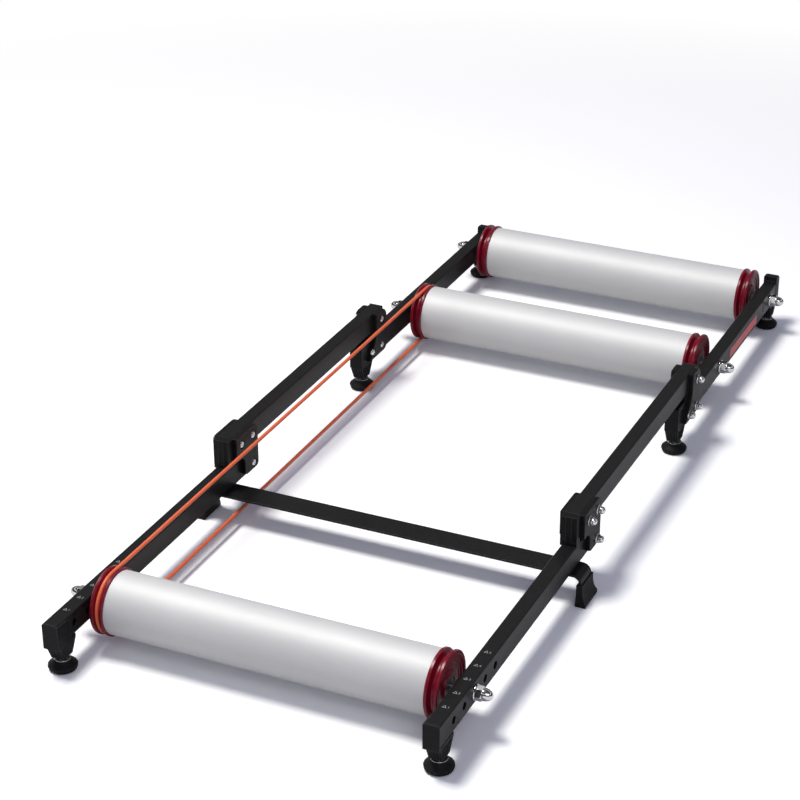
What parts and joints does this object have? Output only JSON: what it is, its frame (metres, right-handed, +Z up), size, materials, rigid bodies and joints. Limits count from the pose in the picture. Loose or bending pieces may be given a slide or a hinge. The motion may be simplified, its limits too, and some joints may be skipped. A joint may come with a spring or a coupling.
{
  "type": "folding bike rollers",
  "caption": "Folding bicycle rollers: hinged frame sections with grooved-end rollers on fixed axles, a round drive belt, a crossbar with moulded feet, and screw feet under the rails.",
  "frame": {"origin": "on the floor under the centre of the outline", "axes": "+X to the right, for someone at the rear who looks at the front roller; -Y to the end with one roller, +Y to the end with two, +Z up"},
  "size_m": [0.555, 1.33, 0.114],
  "materials": {
    "frame_black": "satin",
    "moulded_black": "matte",
    "roller_silver": "satin",
    "cap_red": "gloss",
    "belt_orange": "satin",
    "foot_rubber": "matte",
    "bright_steel": "satin",
    "bearing_steel": "satin",
    "chrome_parts": "polished"
  },
  "bodies": {
    "rear_frame": {"rear_rail_left": "frame_black", "rear_rail_right": "frame_black", "hinge_leg_left": "moulded_black", "hinge_leg_right": "moulded_black", "rear_leg_left": "moulded_black", "rear_leg_right": "moulded_black", "rear_hinge_plate_left_inner": "moulded_black", "rear_hinge_plate_left_outer": "moulded_black", "rear_hinge_plate_right_inner": "moulded_black", "rear_hinge_plate_right_outer": "moulded_black", "rear_hinge_bolts": "chrome_parts", "rear_hinge_nuts": "chrome_parts", "middle_axle": "bright_steel", "rear_axle": "bright_steel", "rear_frame_axle_nuts": "chrome_parts"},
    "middle_frame": {"middle_rail_left": "frame_black", "middle_rail_right": "frame_black", "middle_end_block_left": "moulded_black", "middle_end_block_right": "moulded_black", "middle_rear_plugs": "moulded_black", "front_hinge_plate_left_inner": "moulded_black", "front_hinge_plate_left_outer": "moulded_black", "front_hinge_plate_right_inner": "moulded_black", "front_hinge_plate_right_outer": "moulded_black", "front_hinge_bolts": "chrome_parts", "front_hinge_nuts": "chrome_parts", "drive_belt": "belt_orange"},
    "front_frame": {"front_rail_left": "frame_black", "front_rail_right": "frame_black", "front_leg_left": "moulded_black", "front_leg_right": "moulded_black", "crossbar": "frame_black", "outrigger_shoe_left": "foot_rubber", "outrigger_shoe_right": "foot_rubber", "front_axle": "bright_steel", "front_axle_nuts": "chrome_parts"},
    "front_roller": {"front_roller_tube": "roller_silver", "front_roller_cap_left": "cap_red", "front_roller_cap_right": "cap_red", "front_roller_bearings": "bearing_steel"},
    "middle_roller": {"middle_roller_tube": "roller_silver", "middle_roller_cap_left": "cap_red", "middle_roller_cap_right": "cap_red", "middle_roller_bearings": "bearing_steel"},
    "rear_roller": {"rear_roller_tube": "roller_silver", "rear_roller_cap_left": "cap_red", "rear_roller_cap_right": "cap_red", "rear_roller_bearings": "bearing_steel"},
    "front_left_foot": {"foot_pad_front_left": "foot_rubber", "foot_stud_front_left": "bright_steel"},
    "front_right_foot": {"foot_pad_front_right": "foot_rubber", "foot_stud_front_right": "bright_steel"},
    "hinge_left_foot": {"foot_pad_hinge_left": "foot_rubber", "foot_stud_hinge_left": "bright_steel"},
    "hinge_right_foot": {"foot_pad_hinge_right": "foot_rubber", "foot_stud_hinge_right": "bright_steel"},
    "rear_left_foot": {"foot_pad_rear_left": "foot_rubber", "foot_stud_rear_left": "bright_steel"},
    "rear_right_foot": {"foot_pad_rear_right": "foot_rubber", "foot_stud_rear_right": "bright_steel"}
  },
  "joints": [
    {"name": "rear_fold", "type": "hinge", "parent": "rear_frame", "child": "middle_frame", "pos_m": [0, 0.22, 0.099], "axis": [-1, 0, 0], "range_deg": [0, 180], "deforming": ["drive_belt"]},
    {"name": "front_fold", "type": "hinge", "parent": "middle_frame", "child": "front_frame", "pos_m": [0, -0.187, 0.057], "axis": [1, 0, 0], "range_deg": [0, 180], "deforming": ["drive_belt"]},
    {"name": "middle_roller_spin", "type": "hinge", "parent": "rear_frame", "child": "middle_roller", "pos_m": [0, 0.356, 0.057], "axis": [1, 0, 0], "continuous": true},
    {"name": "front_roller_spin", "type": "hinge", "parent": "front_frame", "child": "front_roller", "pos_m": [0, -0.566, 0.057], "axis": [1, 0, 0], "continuous": true},
    {"name": "rear_roller_spin", "type": "hinge", "parent": "rear_frame", "child": "rear_roller", "pos_m": [0, 0.617, 0.057], "axis": [1, 0, 0], "continuous": true},
    {"name": "front_left_foot_height", "type": "slide", "parent": "front_frame", "child": "front_left_foot", "axis": [0, 0, -1], "range_m": [-0.003, 0.006]},
    {"name": "front_right_foot_height", "type": "slide", "parent": "front_frame", "child": "front_right_foot", "axis": [0, 0, -1], "range_m": [-0.003, 0.006]},
    {"name": "hinge_left_foot_height", "type": "slide", "parent": "rear_frame", "child": "hinge_left_foot", "axis": [0, 0, -1], "range_m": [-0.003, 0.006]},
    {"name": "hinge_right_foot_height", "type": "slide", "parent": "rear_frame", "child": "hinge_right_foot", "axis": [0, 0, -1], "range_m": [-0.003, 0.006]},
    {"name": "rear_left_foot_height", "type": "slide", "parent": "rear_frame", "child": "rear_left_foot", "axis": [0, 0, -1], "range_m": [-0.003, 0.006]},
    {"name": "rear_right_foot_height", "type": "slide", "parent": "rear_frame", "child": "rear_right_foot", "axis": [0, 0, -1], "range_m": [-0.003, 0.006]}
  ],
  "couplings": [
    {"joint": "front_fold", "follows": "rear_fold", "ratio": 1},
    {"joint": "front_roller_spin", "follows": "middle_roller_spin", "ratio": 1}
  ]
}
